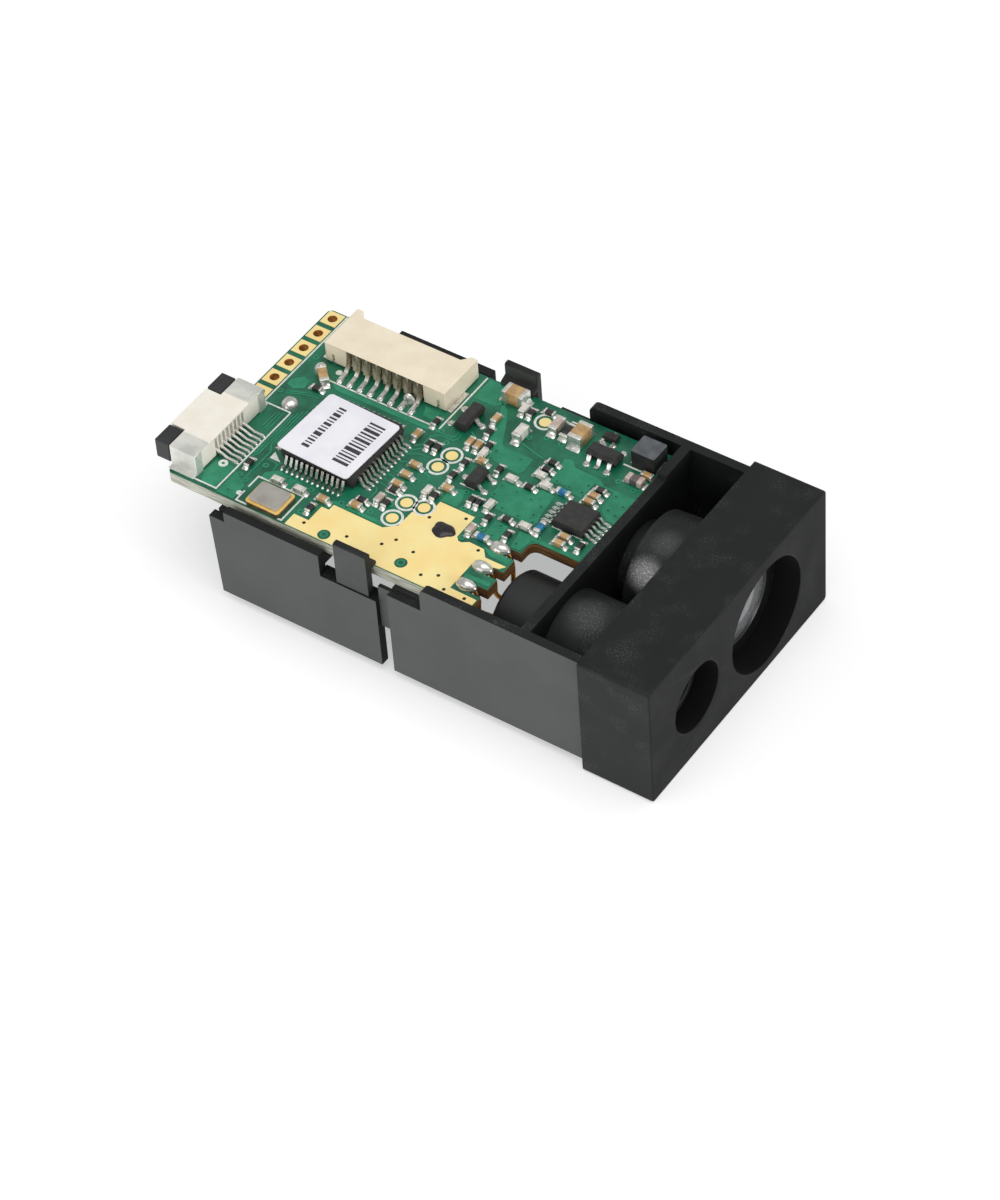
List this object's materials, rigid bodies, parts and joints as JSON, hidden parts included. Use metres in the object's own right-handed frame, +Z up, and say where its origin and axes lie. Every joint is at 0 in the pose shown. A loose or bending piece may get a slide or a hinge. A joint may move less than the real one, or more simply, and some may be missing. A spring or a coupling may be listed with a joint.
{
  "type": "lidar rangefinder module",
  "caption": "Compact single-point lidar module: black moulded chassis with receiver and laser bores, and a green circuit board on top with ribbon and wire connectors and snap clips.",
  "frame": {"origin": "centre of the bounding box's bottom face, under the middle of the module", "axes": "+X out of the optical bores along the beam, +Y towards the receiver's side, +Z up from the chassis to the circuit board"},
  "size_m": [0.048, 0.0252, 0.0126],
  "materials": {
    "chassis_plastic": "moulded satin black",
    "barrel_plastic": "turned satin black",
    "board_laminate": "green solder mask",
    "ribbon_plastic": "moulded cream",
    "wire_plastic": "moulded cream",
    "slider_plastic": "moulded dark grey",
    "plated_steel": "bright tin plate",
    "gilt_metal": "gold plate",
    "lid_metal": "satin nickel",
    "chip_epoxy": "moulded matt black",
    "label_paper": "matt white",
    "ferrite": "matt dark grey",
    "ceramic_tan": "satin tan with plated ends",
    "ceramic_pink": "satin pink grey with plated ends",
    "ceramic_white": "satin white with plated ends",
    "solder": "bright solder",
    "glue": "cured dark resin",
    "lens_glass": "clear moulded lens",
    "filter_glass": "dark red filter"
  },
  "bodies": {
    "housing": {"chassis": "chassis_plastic", "receiver_lens_ring": "barrel_plastic", "receiver_lens": "lens_glass", "optical_filter": "filter_glass", "photodiode": "plated_steel", "laser_barrel": "barrel_plastic", "laser_lens": "lens_glass", "laser_diode": "gilt_metal", "circuit_board": "board_laminate", "microcontroller": "chip_epoxy", "chip_label": "label_paper", "crystal_base": "gilt_metal", "crystal_lid": "lid_metal", "amplifier_chip": "chip_epoxy", "power_switch_chip": "chip_epoxy", "regulator_chip": "chip_epoxy", "transistor_chip": "chip_epoxy", "diode_chip": "chip_epoxy", "power_inductor": "ferrite", "input_capacitor": "ceramic_tan", "output_capacitor": "ceramic_tan", "bias_capacitor": "ceramic_pink", "filter_inductor": "ceramic_white", "solder_joint": "solder", "glue_dot": "glue", "laser_solder_1": "solder", "laser_solder_2": "solder", "laser_solder_3": "solder", "ribbon_connector_housing": "ribbon_plastic", "ribbon_nail_right": "plated_steel", "ribbon_nail_left": "plated_steel", "ribbon_contact_1": "plated_steel", "ribbon_contact_2": "plated_steel", "ribbon_contact_3": "plated_steel", "ribbon_contact_4": "plated_steel", "ribbon_contact_5": "plated_steel", "ribbon_contact_6": "plated_steel", "ribbon_contact_7": "plated_steel", "ribbon_contact_8": "plated_steel", "wire_connector_housing": "wire_plastic", "wire_contact_1": "plated_steel", "wire_contact_2": "plated_steel", "wire_contact_3": "plated_steel", "wire_contact_4": "plated_steel", "wire_contact_5": "plated_steel", "wire_contact_6": "plated_steel", "wire_contact_7": "plated_steel", "wire_contact_8": "plated_steel", "wire_tab_front": "plated_steel", "wire_tab_rear": "plated_steel"},
    "clip_right": {"snap_clip_right": "chassis_plastic"},
    "clip_left": {"snap_clip_left": "chassis_plastic"},
    "ribbon_lock": {"ribbon_lock_slider": "slider_plastic"}
  },
  "joints": [
    {"name": "ribbon_lock_slide", "type": "slide", "parent": "housing", "child": "ribbon_lock", "axis": [-1, 0, 0], "range_m": [0, 0.001]},
    {"name": "clip_right_flex", "type": "hinge", "parent": "housing", "child": "clip_right", "pos_m": [-0.00375, -0.0121, 0.008], "axis": [1, 0, 0], "range_deg": [0, 7], "stiffness_Nm_per_rad": 0.003},
    {"name": "clip_left_flex", "type": "hinge", "parent": "housing", "child": "clip_left", "pos_m": [-0.00375, 0.0121, 0.008], "axis": [-1, 0, 0], "range_deg": [0, 7], "stiffness_Nm_per_rad": 0.003}
  ]
}
